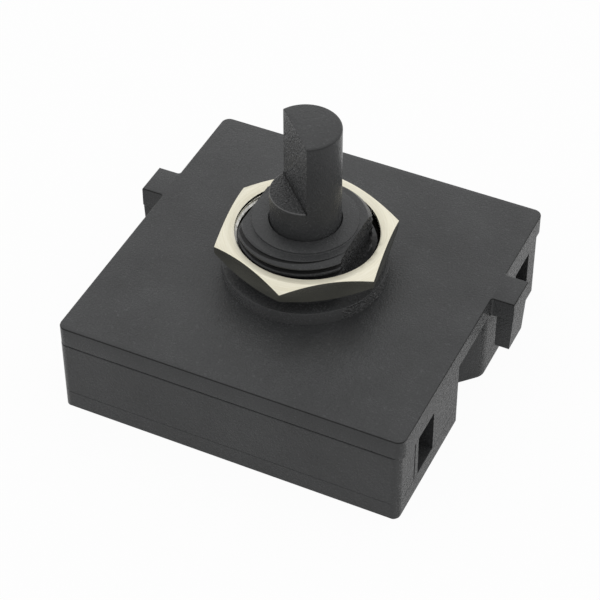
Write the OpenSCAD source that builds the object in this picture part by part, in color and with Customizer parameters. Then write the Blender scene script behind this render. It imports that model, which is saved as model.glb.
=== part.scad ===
// Rotary selector switch for a lamp: square two-part housing, threaded neck, D-shaft.
// Origin: the shaft's axis on the housing's flat bottom. +Z runs up the shaft, +X is the right side.

/* [Housing] */
// Width of the base walls, left to right
body_w = 30.8; // [28:0.1:36]
// Depth of the base walls, front to back
body_d = 30.6; // [28:0.1:36]
// How far the cover stands out past the walls on the left and right
cover_overhang = 0.1; // [0:0.05:0.6]
// Thickness of the plate that closes the bottom
floor_t = 1.75; // [1.2:0.05:2.5]
// Height of the base walls
wall_h = 5.3; // [5.2:0.05:8]
// Thickness of the cover plate
cover_t = 2.0; // [1.2:0.05:3]
// Thickness of the outer walls
wall_t = 1.4; // [0.8:0.05:1.9]
// Radius of the upright corners
corner_r = 0.75; // [0.3:0.05:1.4]
// Rounding of the cover's top edge
cover_edge_r = 0.2; // [0.1:0.05:0.6]
// Chamfer along the cover's parting line at the front and rear
seam_c = 0.1; // [0.05:0.01:0.2]
// Chamfer along the other parting lines
fine_c = 0.04; // [0.02:0.01:0.1]
// Chamfer round the bottom
foot_c = 0.1; // [0.05:0.05:0.5]

/* [Neck and collar] */
// Radius of the collar that the panel rests on
collar_r = 7.1; // [6.6:0.05:8.5]
// Height of the collar
collar_h = 1.25; // [0.4:0.05:2]
// Crest radius of the threaded neck
neck_r = 5.7; // [5.2:0.05:6.2]
// Height of the neck above the cover plate, without its raised face
neck_h = 5.4; // [4.2:0.05:9]
// Lead-in chamfer at the top of the neck
neck_c = 0.6; // [0.2:0.05:0.9]
// Radius of the raised face round the shaft
face_r = 4.5; // [3.8:0.05:4.7]
// Height of the raised face
face_h = 0.22; // [0.1:0.02:0.5]
// Distance of the neck's flat from the axis
neck_flat = 4.65; // [4.3:0.05:5.1]

/* [Side tabs and lugs] */
// How far the cover's tabs stand out
tab_out = 2.05; // [1:0.05:3]
// Width of a tab, front to back
tab_w = 3.2; // [2:0.05:4]
// Place of the tabs' middle, front to back
tab_y = 4.75; // [4.5:0.05:6]
// Fillet where a tab joins the plate
tab_fillet_r = 0.25; // [0.2:0.05:1]
// Height of the lug under a tab
lug_h = 3.5; // [1.5:0.05:4.5]
// Width of a lug, front to back
lug_w = 2.9; // [1.8:0.05:3.6]
// Place of the lugs' middle, front to back
lug_y = 4.9; // [4.5:0.05:6]
// Thickness of a lug's front and outer walls
lug_t = 0.7; // [0.5:0.05:1]
// How much wider a lug is at its top than at its foot
lug_draft = 0.15; // [0.05:0.05:0.4]
// Slot between the lug and the wall
lug_slot = 0.7; // [0.3:0.05:0.9]
// Width of the web that carries a lug at its rear end
web_w = 0.8; // [0.5:0.05:1.3]
// Height of the web
web_h = 1.5; // [1:0.05:2.5]

/* [Terminal windows] */
// Width of a window, front to back
window_w = 3.15; // [2.4:0.05:3.4]
// Height of a window above the bottom plate
window_h = 4.2; // [3:0.05:4.6]
// Distance of the front windows from the front wall's face
window_front = 3.9; // [3.6:0.05:4.4]
// Distance of the rear windows from the rear wall's face
window_rear = 2.35; // [1.9:0.05:2.6]
// Width of the fine relief groove in front of a front window
groove_w = 0.16; // [0.1:0.02:0.3]
// Depth of the relief groove
groove_t = 0.3; // [0.1:0.05:0.5]
// Wall between a front window and its groove
groove_gap = 0.6; // [0.4:0.05:0.9]

/* [Side notches] */
// Depth of a notch from the wall's face
notch_in = 2.8; // [1.5:0.05:2.9]
// Front end of a notch
notch_y = -3.05; // [-4:0.05:-2]
// Length of a notch at its floor
notch_len = 3.0; // [2:0.05:3.2]
// Length that the slanted rear flank takes
flank_len = 2.95; // [2:0.05:3.5]
// Rounding where the flank meets the wall
flank_r = 1.4; // [0.5:0.1:3]

/* [Shaft] */
// Radius of the shaft
shaft_r = 3.0; // [2.8:0.05:3.3]
// Height of the shaft's end above the cover plate
shaft_h = 15.18; // [11:0.05:30]
// Length of the D-shaped end
d_len = 6.75; // [3:0.05:8]
// Distance of the D-flat from the axis
d_flat = 0.9; // [0.6:0.05:2.4]
// Direction that the D-flat faces with the switch off, in degrees
d_angle = 225; // [0:5:355]
// Chamfer on the shaft's end
shaft_c = 0.2; // [0.1:0.05:0.5]
// Radius of the journal that turns in the bottom plate
journal_r = 1.5; // [1.2:0.05:1.8]
// Width of the square that drives the rotor
drive_w = 4.2; // [3.4:0.05:4.2]
// Radius of the shoulder under the cover
shoulder_r = 4.2; // [3.8:0.05:4.8]
// Thickness of the shoulder
shoulder_t = 0.65; // [0.4:0.05:0.7]

/* [Panel nut] */
// Width of the nut across its flats
nut_af = 13.7; // [13:0.05:15]
// Thickness of the nut
nut_t = 1.85; // [1.2:0.05:2.6]
// Gap between the collar and the nut, where the panel goes
nut_gap = 1.2; // [0.2:0.05:1.6]
// Slope of the nut's corner chamfers, in degrees
nut_slope = 30; // [15:1:40]
// Radius of the chamfer at the mouth of the nut's bore
nut_mouth_r = 6.15; // [6.0:0.05:6.4]
// Direction of one of the nut's corners, in degrees
nut_turn = 38.6; // [0:0.2:60]

/* [Rotor and index] */
// Radius of the rotor disc
rotor_r = 8.4; // [7.8:0.05:8.6]
// Thickness of the rotor disc
rotor_t = 1.1; // [0.8:0.05:1.2]
// Radius of the index star
star_r = 6.6; // [6.0:0.05:6.8]
// Radius of the round notches in the index star
star_notch_r = 1.05; // [0.8:0.05:1.2]
// Step between two positions, in degrees
step_deg = 90; // [90:90:90]
// Number of switch positions
positions = 4; // [2:1:4]
// Angular width of the stop lug, in degrees
stop_lug_deg = 20; // [12:1:24]
// Thickness of the index spring strip
index_t = 0.25; // [0.15:0.01:0.3]
// Height of the index spring strip
index_h = 0.9; // [0.6:0.05:0.95]

/* [Contacts] */
// Thickness of the brass contact strips
strip_t = 0.5; // [0.3:0.05:0.6]
// Width of the brass contact strips
strip_w = 2.2; // [1.6:0.05:2.6]
// Radius of the circle that the fixed contacts lie on
pad_circle_r = 7.8; // [7.6:0.05:8]
// Radius of a fixed contact's pad
pad_r = 1.4; // [1.2:0.05:1.5]
// Radius of a silver contact button
button_r = 1.0; // [0.7:0.05:1.1]
// Height of a silver contact button
button_h = 0.3; // [0.2:0.02:0.4]
// Inner radius of the common ring
ring_in_r = 4.1; // [3.6:0.05:4.2]
// Outer radius of the common ring
ring_out_r = 5.7; // [5.4:0.05:5.9]
// Thickness of the wiper sheet
wiper_t = 0.3; // [0.2:0.02:0.35]
// Width of a wiper arm
arm_w = 1.7; // [1.2:0.05:2]
// Height of a terminal blade above the bottom plate
blade_h = 3.8; // [2.5:0.05:4.2]
// Thickness of a clamp spring
clamp_t = 0.25; // [0.2:0.01:0.35]
// Height of a clamp spring
clamp_h = 3.2; // [2:0.05:3.8]

/* [Fits] */
// Radial clearance of the shaft in the neck and of the journal in the floor
run_gap = 0.05; // [0.02:0.01:0.08]
// Radial clearance of the nut on the neck's crests
nut_run_gap = 0.09; // [0.05:0.01:0.1]
// Clearance round pieces that are slipped into place
slip_gap = 0.04; // [0.02:0.01:0.06]
// Gap between the moving contacts and the fixed ones
contact_gap = 0.05; // [0.03:0.01:0.08]
// Angular play of the stop lug, in degrees
stop_play = 0.6; // [0.3:0.1:1]

/* [Hidden] */
$fn = 96;
far = 60;
over = 0.5;

// Levels above the bottom
base_top = floor_t + wall_h;
plate_top = base_top + cover_t;
collar_top = plate_top + collar_h;
neck_top = plate_top + neck_h;
face_top = neck_top + face_h;
shaft_top = plate_top + shaft_h;
d_foot = shaft_top - d_len;
bore_r = shaft_r + run_gap;
nut_low = collar_top + nut_gap;

// Rotor stack, hung from the cover downwards
shoulder_top = base_top - run_gap;
star_top = shoulder_top - shoulder_t;
star_t = index_h + 0.2;
disc_top = star_top - star_t;
disc_low = disc_top - rotor_t;
hub_r = 3.4;
hub_h = 0.7;
hub_low = disc_low - hub_h;
boss_r = 2.6;
boss_top = hub_low - 0.1;
journal_low = floor_t - 0.6;
lug_foot_inset = 0.15;
lug_gap = 0.04;

// Chamber of the rotor
chamber_r = rotor_r + 1.8;
lip_h = 0.5;
lip_t = 0.7;
stop_center = 0;
stop_half = (360 - (positions - 1) * step_deg - stop_lug_deg) / 2 - stop_play;
stop_lug_angle = stop_center - stop_half - stop_play - stop_lug_deg / 2;
stop_out = 1.2;

// Contacts
strip_top = floor_t + strip_t;
button_top = strip_top + button_h;
tip_low = button_top + contact_gap;
tip_r = 0.75;
tip_h = 0.4;
wiper_low = disc_low - wiper_t;
arm_angle = 135;
common_angle = arm_angle - 180;
common_contact_r = (ring_in_r + ring_out_r) / 2;
rivet_r = 0.4;
rivet_head_r = 0.65;
rivet_head_h = 0.2;
rivet_circle_r = 4.3;
rivet_grip = 0.8;

// Terminal pockets. A corner is [sign of x, sign of y]
right_rear = [1, 1];
right_front = [1, -1];
left_front = [-1, -1];
left_rear = [-1, 1];
pocket_len = 6.5;
pocket_out_x = body_w / 2 - wall_t;
pocket_in_x = pocket_out_x - pocket_len;
pocket_side_gap = 0.1;
blade_side_gap = 0.05;
blade_end_gap = 0.5;
clamp_wall_gap = 0.2;
clamp_angle_in = 3.3;

// Outer edge of a window, counted from the middle towards its wall
function window_far(c) = body_d / 2 - (c[1] > 0 ? window_rear : window_front);
function window_near(c) = window_far(c) - window_w;
function blade_far(c) = window_near(c) - blade_side_gap;
function pocket_near(c) = blade_far(c) - strip_t - pocket_side_gap;
pocket_far = body_d / 2 - wall_t;

function polar(r, a) = [r * cos(a), r * sin(a)];
function arc_points(c, r, from, to, steps) = [for (i = [0 : steps]) c + polar(r, from + (to - from) * i / steps)];
function unit(v) = v / norm(v);
function normal(v) = [-v[1], v[0]];

// Outline of a bent strip of thickness t whose middle line runs through the points p
function strip_side(p, t, s) = [
    for (i = [0 : len(p) - 1])
        let (a = i > 0 ? unit(p[i] - p[i - 1]) : unit(p[1] - p[0]),
             b = i < len(p) - 1 ? unit(p[i + 1] - p[i]) : a,
             m = unit(normal(a) + normal(b)))
        p[i] + s * t / 2 * m / (m * normal(a))
];
function reversed(p) = [for (i = [len(p) - 1 : -1 : 0]) p[i]];
function strip_outline(p, t) = concat(strip_side(p, t, 1), reversed(strip_side(p, t, -1)));

module rounded_square(w, d, r) {
    square([w - 2 * r, d], center = true);
    square([w, d - 2 * r], center = true);
    for (x = [-1, 1], y = [-1, 1])
        translate([x * (w / 2 - r), y * (d / 2 - r)]) circle(r);
}

// Side view of a slab: rounded upper corners, chamfered lower corners
module edge_profile(w, h, top_r, low_c) {
    difference() {
        union() {
            translate([-w / 2, 0]) square([w, h - top_r]);
            translate([-w / 2 + top_r, 0]) square([w - 2 * top_r, h]);
            for (s = [-1, 1])
                translate([s * (w / 2 - top_r), h - top_r]) circle(top_r);
        }
        for (s = [-1, 1])
            translate([s * w / 2, 0]) rotate(45) square(low_c * sqrt(2), center = true);
    }
}

// Slab with softened edges. Each pair of edge sizes is for the left and right, then the front and rear
module soft_slab(w, d, h, r, top_r, low_c) {
    intersection() {
        linear_extrude(h) rounded_square(w, d, r);
        translate([0, d, 0]) rotate([90, 0, 0]) linear_extrude(2 * d) edge_profile(w, h, top_r[0], low_c[0]);
        translate([-w, 0, 0]) rotate([90, 0, 90]) linear_extrude(2 * w) edge_profile(d, h, top_r[1], low_c[1]);
    }
}

// Sector of a ring, centred on the angle a
module ring_sector(r_in, r_out, a, half, h) {
    wedge = concat([[0, 0]], arc_points([0, 0], 2 * r_out, a - half, a + half, 8));
    intersection() {
        difference() {
            cylinder(h = h, r = r_out);
            translate([0, 0, -over]) cylinder(h = h + 2 * over, r = r_in);
        }
        linear_extrude(h) polygon(wedge);
    }
}

// One side notch in plan, on the right. Its rear flank runs into the wall in an arc
module notch_plan() {
    wall_x = body_w / 2;
    floor_x = wall_x - notch_in;
    flank_y = notch_y + notch_len;
    turn = atan2(notch_in, flank_len);
    end_y = flank_y + flank_len + flank_r * tan(turn / 2);
    polygon(concat([[floor_x, notch_y], [wall_x + over, notch_y], [wall_x + over, end_y]],
                   arc_points([wall_x - flank_r, end_y], flank_r, 0, -turn, 6), [[floor_x, flank_y]]));
}

module both_sides() {
    children();
    mirror([1, 0, 0]) children();
}

module at_corners() {
    for (c = [right_rear, right_front, left_front, left_rear]) {
        $corner = c;
        mirror([c[0] < 0 ? 1 : 0, 0, 0]) mirror([0, c[1] < 0 ? 1 : 0, 0]) children();
    }
}

// Cover: plate with side tabs, collar, threaded neck and register ring
module tab() {
    w = body_w + 2 * (cover_overhang + tab_out);
    root = body_w / 2 + cover_overhang;
    intersection() {
        translate([0, tab_y, 0]) linear_extrude(cover_t) union() {
            translate([root - over, -tab_w / 2]) square([tab_out + over, tab_w]);
            for (s = [-1, 1])
                difference() {
                    translate([root - over, s > 0 ? tab_w / 2 : -tab_w / 2 - tab_fillet_r])
                        square([over + tab_fillet_r, tab_fillet_r]);
                    translate([root + tab_fillet_r, s * (tab_w / 2 + tab_fillet_r)]) circle(tab_fillet_r);
                }
        }
        translate([0, body_d, 0]) rotate([90, 0, 0]) linear_extrude(2 * body_d)
            edge_profile(w, cover_t, cover_edge_r / 2, fine_c);
    }
}

module cover_turned_profile() {
    difference() {
        union() {
            translate([0, base_top]) square([collar_r, cover_t + collar_h - cover_edge_r]);
            translate([0, base_top]) square([collar_r - cover_edge_r, cover_t + collar_h]);
            translate([collar_r - cover_edge_r, collar_top - cover_edge_r]) circle(cover_edge_r);
            polygon([[0, base_top], [neck_r, base_top], [neck_r, neck_top - neck_c], [neck_r - neck_c, neck_top],
                     [face_r, neck_top], [face_r, face_top - face_h / 2], [face_r - face_h / 2, face_top],
                     [0, face_top]]);
        }
        translate([-over, base_top - over]) square([bore_r + over, far]);
    }
}

module cover() {
    color([0.20, 0.21, 0.20]) {
        difference() {
            union() {
                translate([0, 0, base_top])
                    soft_slab(body_w + 2 * cover_overhang, body_d, cover_t, corner_r,
                              [cover_edge_r, cover_edge_r], [fine_c, seam_c]);
                translate([0, 0, base_top]) both_sides() tab();
                rotate_extrude() cover_turned_profile();
            }
            translate([0, 0, base_top - over]) cylinder(h = far, r = bore_r);
            translate([neck_flat, -far / 2, collar_top]) cube([far, far, far]);
        }
        translate([0, 0, base_top - lip_h]) difference() {
            cylinder(h = lip_h, r = chamber_r - slip_gap);
            translate([0, 0, -over]) cylinder(h = lip_h + 2 * over, r = chamber_r - slip_gap - lip_t);
        }
    }
}

// Base: outer walls with windows, side notches and lugs, round chamber and four terminal pockets
module lug() {
    foot = cover_overhang + tab_out - lug_foot_inset;
    h = lug_h - lug_gap;
    translate([body_w / 2, lug_y, base_top - lug_h]) {
        difference() {
            intersection() {
                translate([0, lug_w, 0]) rotate([90, 0, 0]) linear_extrude(2 * lug_w)
                    polygon([[lug_slot, 0], [foot, 0], [foot + lug_draft, h], [lug_slot, h]]);
                rotate([90, 0, 90]) linear_extrude(far)
                    polygon([[-lug_w / 2, 0], [lug_w / 2, 0], [lug_w / 2 + lug_draft, h], [-lug_w / 2, h]]);
            }
            translate([0, lug_t - lug_w / 2, -over]) cube([foot - lug_t, lug_w, h + 2 * over]);
        }
        translate([-over, lug_w / 2 - web_w, h - web_h]) cube([over + foot - lug_t / 2, web_w, web_h]);
    }
}

// Cuts of one corner, drawn for the right rear and mirrored to the others
module corner_cuts(c) {
    near = pocket_near(c);
    translate([pocket_in_x, near, floor_t - over])
        cube([pocket_len, pocket_far - near, wall_h - cover_edge_r + over]);
    translate([pocket_out_x - over, window_near(c), floor_t - over])
        cube([wall_t + 2 * over, window_w, window_h + over]);
    if (c[1] < 0)
        translate([body_w / 2 - groove_t, window_far(c) + groove_gap, floor_t])
            cube([groove_t + over, groove_w, window_h]);
    translate([0, 0, floor_t - over]) linear_extrude(over + strip_t + slip_gap) strap_plan(c, slip_gap);
}

module base() {
    color([0.18, 0.19, 0.19]) {
        difference() {
            translate([0, 0, floor_t])
                soft_slab(body_w, body_d, wall_h, corner_r, [fine_c, seam_c], [fine_c, fine_c]);
            translate([0, 0, floor_t - over]) cylinder(h = wall_h + 2 * over, r = chamber_r);
            at_corners() corner_cuts($corner);
            both_sides() translate([0, 0, floor_t - over]) linear_extrude(wall_h + 2 * over) notch_plan();
            for (s = [-1, 1]) index_slot(s);
        }
        both_sides() lug();
        translate([0, 0, disc_low])
            ring_sector(chamber_r - stop_out, chamber_r + over, stop_center, stop_half, rotor_t - slip_gap);
    }
}

// Bottom plate with the journal's bearing
module base_plate() {
    color([0.16, 0.17, 0.17]) difference() {
        union() {
            mirror([0, 0, 1]) translate([0, 0, -floor_t])
                soft_slab(body_w, body_d, floor_t, corner_r, [foot_c, foot_c], [fine_c, fine_c]);
            cylinder(h = boss_top, r = boss_r);
        }
        translate([0, 0, journal_low]) cylinder(h = far, r = journal_r + run_gap);
        both_sides() translate([0, 0, -over]) linear_extrude(floor_t + 2 * over) notch_plan();
    }
}

// Shaft: D-end, bearing, shoulder, driving square and journal
module selector_shaft() {
    color([0.17, 0.18, 0.18]) {
        difference() {
            rotate_extrude() polygon([[0, star_top], [shoulder_r, star_top], [shoulder_r, shoulder_top],
                                      [shaft_r, shoulder_top], [shaft_r, shaft_top - shaft_c],
                                      [shaft_r - shaft_c, shaft_top], [0, shaft_top]]);
            d_cut();
        }
        translate([-drive_w / 2, -drive_w / 2, hub_low])
            cube([drive_w, drive_w, star_top + shoulder_t / 2 - hub_low]);
        translate([0, 0, journal_low + run_gap])
            cylinder(h = hub_low + hub_h - journal_low - run_gap, r = journal_r);
    }
}

module d_cut() {
    rotate(d_angle) translate([d_flat, -far / 2, d_foot]) cube([far, far, far]);
}

// Rotor: disc with hub, index star and stop lug
module rotor() {
    hole_w = drive_w + 2 * slip_gap;
    color([0.72, 0.70, 0.64]) difference() {
        union() {
            translate([0, 0, disc_low]) cylinder(h = rotor_t, r = rotor_r);
            translate([0, 0, hub_low]) cylinder(h = hub_h, r = hub_r);
            difference() {
                translate([0, 0, disc_top]) cylinder(h = star_t, r = star_r);
                for (a = [0 : step_deg : 359])
                    rotate(a) translate([star_r + star_notch_r / 2, 0, disc_top])
                        cylinder(h = star_t + over, r = star_notch_r);
            }
            translate([0, 0, disc_low])
                ring_sector(hub_r, chamber_r - stop_out + 0.8, stop_lug_angle, stop_lug_deg / 2, rotor_t - slip_gap);
        }
        translate([-hole_w / 2, -hole_w / 2, hub_low - over]) cube([hole_w, hole_w, far]);
        wiper_rivet_places() cylinder(h = rivet_grip + slip_gap, r = rivet_r + slip_gap);
    }
}

// Wiper: spring bronze ring under the rotor, one arm to the fixed contacts, one to the common ring
module wiper_arm(points, angle) {
    rotate(angle) translate([0, arm_w / 2, 0]) rotate([90, 0, 0]) linear_extrude(arm_w)
        polygon(strip_outline(points, wiper_t));
}

module wiper_rivet_places() {
    for (s = [-90, 90])
        rotate(arm_angle + s) translate([rivet_circle_r, 0, disc_low]) children();
}

module wiper() {
    mid = wiper_low + wiper_t / 2;
    line_z = tip_low + tip_h + wiper_t / 2;
    common_z = strip_top + contact_gap + tip_h + wiper_t / 2;
    root_r = hub_r + slip_gap + 0.4;
    color([0.80, 0.52, 0.30]) difference() {
        union() {
            translate([0, 0, wiper_low]) cylinder(h = wiper_t, r = rivet_circle_r + 0.75);
            wiper_arm([[root_r, mid], [rivet_circle_r + 0.9, mid], [pad_circle_r - 1.0, line_z],
                       [pad_circle_r + 0.9, line_z]], arm_angle);
            wiper_arm([[root_r, mid], [ring_out_r + 0.9, mid], [ring_out_r + 1.3, mid - 0.3],
                       [ring_out_r + 0.5, common_z], [common_contact_r - 0.8, common_z]], common_angle);
        }
        translate([0, 0, wiper_low - over]) cylinder(h = far, r = hub_r + slip_gap);
        wiper_rivet_places() translate([0, 0, -far / 2]) cylinder(h = far, r = rivet_r + slip_gap);
    }
}

module tip() {
    cylinder(h = tip_h / 2, r1 = tip_r - tip_h / 2, r2 = tip_r);
    translate([0, 0, tip_h / 2]) cylinder(h = tip_h / 2, r = tip_r);
}

module wiper_tips() {
    color([0.86, 0.86, 0.84]) {
        rotate(arm_angle) translate([pad_circle_r, 0, tip_low]) tip();
        rotate(common_angle) translate([common_contact_r, 0, strip_top + contact_gap]) tip();
    }
}

module wiper_rivets() {
    color([0.75, 0.60, 0.32]) wiper_rivet_places() {
        translate([0, 0, -wiper_t]) cylinder(h = wiper_t + rivet_grip, r = rivet_r);
        translate([0, 0, -wiper_t - rivet_head_h]) cylinder(h = rivet_head_h, r = rivet_head_r);
    }
}

// Index springs: a strip across the chamber with a round nose in a notch of the star
index_low = disc_top + 0.1;
index_line = star_r + star_notch_r / 2;
index_end = sqrt(pow(chamber_r, 2) - pow(index_line, 2)) + 0.5;
nose_r = star_notch_r - 0.1;

module index_spring(s) {
    nose_in = nose_r - index_t;
    color([0.70, 0.70, 0.68]) mirror([0, s < 0 ? 1 : 0, 0]) translate([0, index_line, index_low]) {
        for (x = [-1, 1])
            mirror([x < 0 ? 1 : 0, 0, 0]) translate([nose_in, 0, 0]) cube([index_end - nose_in, index_t, index_h]);
        linear_extrude(index_h) difference() {
            circle(nose_r);
            circle(nose_in);
            translate([-far / 2, 0]) square([far, far]);
        }
    }
}

module index_slot(s) {
    w = index_t + 2 * slip_gap;
    mirror([0, s < 0 ? 1 : 0, 0])
        translate([-index_end - slip_gap, index_line - slip_gap, index_low - slip_gap])
            cube([2 * (index_end + slip_gap), w, far]);
}

module index_spring_front() { index_spring(-1); }
module index_spring_rear() { index_spring(1); }

// Contact strips. Each is drawn for the right rear corner and mirrored to its own
module strap_plan(c, gap) {
    far_y = blade_far(c);
    pad = polar(pad_circle_r, 45);
    knee = [pocket_in_x + 0.8, far_y - strip_w / 2];
    translate(pad) circle(pad_r + gap);
    polygon(strip_outline([pad, knee, [pocket_in_x + 2.2, far_y - strip_w / 2]], strip_w + 2 * gap));
}

module blade(c) {
    len = pocket_len - 2 * blade_end_gap;
    translate([pocket_in_x + blade_end_gap, blade_far(c) - strip_t, floor_t]) cube([len, strip_t, blade_h]);
}

module placed(c) {
    mirror([c[0] < 0 ? 1 : 0, 0, 0]) mirror([0, c[1] < 0 ? 1 : 0, 0]) children();
}

module line_contact(c) {
    color([0.80, 0.66, 0.36]) placed(c) difference() {
        union() {
            translate([0, 0, floor_t]) linear_extrude(strip_t) strap_plan(c, 0);
            blade(c);
        }
        translate(polar(pad_circle_r, 45)) cylinder(h = far, r = rivet_r + slip_gap);
    }
}

module line_contact_1() { line_contact(right_rear); }
module line_contact_2() { line_contact(right_front); }
module line_contact_3() { line_contact(left_front); }

module common_contact() {
    color([0.80, 0.66, 0.36]) {
        translate([0, 0, floor_t]) linear_extrude(strip_t) difference() {
            union() {
                circle(ring_out_r);
                placed(left_rear) strap_plan(left_rear, 0);
                placed(left_rear) polygon(strip_outline([polar(common_contact_r, 45), polar(pad_circle_r, 45)], strip_w));
            }
            circle(ring_in_r);
        }
        placed(left_rear) blade(left_rear);
    }
}

module contact_buttons() {
    color([0.86, 0.86, 0.84])
        for (c = [right_rear, right_front, left_front])
            placed(c) translate(polar(pad_circle_r, 45)) {
                translate([0, 0, floor_t]) cylinder(h = strip_t + button_h / 2, r = rivet_r);
                translate([0, 0, strip_top]) cylinder(h = button_h, r = button_r);
            }
}

// Clamp springs: a folded leaf in each pocket, which presses the wire against the blade
module clamp_spring(c) {
    leg_y = pocket_far - clamp_wall_gap;
    fold_x = pocket_out_x - 1.3;
    color([0.62, 0.62, 0.60]) placed(c) translate([0, 0, floor_t]) linear_extrude(clamp_h)
        polygon(strip_outline([[pocket_in_x + 0.6, leg_y], [fold_x, leg_y], [fold_x + 0.4, leg_y - 0.4],
                               [fold_x + 0.1, leg_y - 0.9], [fold_x - clamp_angle_in, blade_far(c) + 0.7]], clamp_t));
}

module clamp_spring_1() { clamp_spring(right_rear); }
module clamp_spring_2() { clamp_spring(right_front); }
module clamp_spring_3() { clamp_spring(left_front); }
module clamp_spring_4() { clamp_spring(left_rear); }

// Thin hexagon nut, chamfered at both faces
module panel_nut() {
    corner = nut_af / sqrt(3);
    bore = neck_r + nut_run_gap;
    drop = (corner - nut_af / 2) * tan(nut_slope);
    mouth = nut_mouth_r - bore;
    color([0.86, 0.83, 0.74]) translate([0, 0, nut_low]) difference() {
        intersection() {
            rotate(nut_turn) cylinder(h = nut_t, r = corner, $fn = 6);
            rotate_extrude() polygon([[0, 0], [nut_af / 2, 0], [corner, drop], [corner, nut_t - drop],
                                      [nut_af / 2, nut_t], [0, nut_t]]);
        }
        translate([0, 0, -over]) cylinder(h = nut_t + 2 * over, r = bore);
        translate([0, 0, nut_t - mouth]) cylinder(h = mouth, r1 = bore, r2 = nut_mouth_r);
        cylinder(h = mouth, r1 = nut_mouth_r, r2 = bore);
    }
}

cover();
base();
base_plate();
selector_shaft();
rotor();
wiper();
wiper_tips();
wiper_rivets();
index_spring_front();
index_spring_rear();
common_contact();
line_contact_1();
line_contact_2();
line_contact_3();
contact_buttons();
clamp_spring_1();
clamp_spring_2();
clamp_spring_3();
clamp_spring_4();
panel_nut();
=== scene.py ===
# %% [markdown]
# # A rotary light switch, from solid parts to a finished picture
# The switch is a flat square housing of matt black plastic. A threaded neck stands on it, a thin
# nickel-plated nut runs on the thread, and a D-shaped shaft comes out of the neck. The solids come
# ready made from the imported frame. This lesson adds what they leave out: the thread, soft edges, and
# a finish for every piece.

import math

import bmesh
import bpy
from mathutils import Euler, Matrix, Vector


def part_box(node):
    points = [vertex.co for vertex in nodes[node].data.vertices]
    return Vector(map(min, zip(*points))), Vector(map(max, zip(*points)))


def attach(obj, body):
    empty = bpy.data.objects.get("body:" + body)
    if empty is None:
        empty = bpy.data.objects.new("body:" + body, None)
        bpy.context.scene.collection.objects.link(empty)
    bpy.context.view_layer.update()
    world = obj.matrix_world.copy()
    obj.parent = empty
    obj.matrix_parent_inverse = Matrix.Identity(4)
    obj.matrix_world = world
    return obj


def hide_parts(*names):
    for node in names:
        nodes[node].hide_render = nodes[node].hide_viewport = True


MM = 0.001
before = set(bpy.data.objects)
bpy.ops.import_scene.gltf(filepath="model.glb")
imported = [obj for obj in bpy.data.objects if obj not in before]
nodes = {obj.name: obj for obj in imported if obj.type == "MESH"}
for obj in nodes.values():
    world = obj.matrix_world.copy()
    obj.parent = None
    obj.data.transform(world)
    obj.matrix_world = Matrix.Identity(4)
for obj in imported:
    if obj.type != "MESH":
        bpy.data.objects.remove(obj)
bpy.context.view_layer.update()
BODY_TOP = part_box("base")[1].z
PLATE_T = 2.0 * MM
COVER_TOP = BODY_TOP + PLATE_T
print("top of the cover plate in mm:", round(COVER_TOP / MM, 2))

# %% [markdown]
# ## The camera
# A camera can be placed by eye, but here it was worked out from the edges and circles that show in
# the photograph. It looks down on the front right corner with a long lens from 18 cm away, so the
# square housing converges only a little. The photograph's middle lies a little off the lens axis,
# which is what the two shift values say.

# %% Camera
CAMERA_TURN = math.radians(25.49)
CAMERA_RISE = math.radians(42.42)
CAMERA_ROLL = math.radians(-0.12)
CAMERA_AWAY = 182.43 * MM
LENS_MM = 129.63
SENSOR_MM = 36.0
LENS_AXIS_PX = (305.40, 268.07)
PICTURE_PX = 600
LOOK_AT = Vector((0.04 * MM, -0.14 * MM, COVER_TOP))


def place_camera():
    """Adds the camera, which looks down on the cover's middle from the front right."""
    back = Vector((math.sin(CAMERA_TURN) * math.cos(CAMERA_RISE),
                   -math.cos(CAMERA_TURN) * math.cos(CAMERA_RISE),
                   math.sin(CAMERA_RISE)))
    bpy.ops.object.camera_add(location=LOOK_AT + back * CAMERA_AWAY)
    camera = bpy.context.object
    camera.rotation_mode = "QUATERNION"
    camera.rotation_quaternion = back.to_track_quat("Z", "Y")
    camera.rotation_mode = "XYZ"
    camera.rotation_euler.rotate_axis("Z", CAMERA_ROLL)
    camera.data.sensor_width = SENSOR_MM
    camera.data.lens = LENS_MM
    camera.data.shift_x = 0.5 - LENS_AXIS_PX[0] / PICTURE_PX
    camera.data.shift_y = LENS_AXIS_PX[1] / PICTURE_PX - 0.5
    camera.data.clip_start = 0.01
    bpy.context.scene.camera = camera
    return camera


camera = place_camera()
print("camera in mm:", [round(v / MM, 1) for v in camera.location])

# %% [markdown]
# ## Helpers for modelling
# An operator works on whatever is selected, so each step begins with nothing selected and picks its
# faces or edges by where they lie. A few helpers are enough for this switch: they pick parts of a
# mesh, spin a section into a turned form, join or cut two solids, and round what is left sharp.


# %% Select and pick
def only(piece):
    """Makes a piece the one selected and active object."""
    bpy.ops.object.select_all(action="DESELECT")
    piece.select_set(True)
    bpy.context.view_layer.objects.active = piece
    return piece


def settle(piece):
    """Moves a piece's place, turn and scale into its mesh."""
    only(piece)
    bpy.ops.object.transform_apply(location=True, rotation=True, scale=True)
    return piece


def pick(piece, kind, test):
    """Selects the verts, edges or faces of the piece in edit mode that pass the test."""
    bpy.ops.mesh.select_mode(type={"verts": "VERT", "edges": "EDGE", "faces": "FACE"}[kind])
    bpy.ops.mesh.select_all(action="DESELECT")
    mesh = bmesh.from_edit_mesh(piece.data)
    found = [item for item in getattr(mesh, kind) if test(item)]
    for item in found:
        item.select_set(True)
    mesh.select_flush_mode()
    bmesh.update_edit_mesh(piece.data)
    return len(found)


def middle(edge):
    """The middle point of an edge."""
    return (edge.verts[0].co + edge.verts[1].co) / 2


def upright(edge):
    """True for an edge that runs along Z."""
    along = edge.verts[1].co - edge.verts[0].co
    return abs(along.z) > 0.999 * along.length


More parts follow.
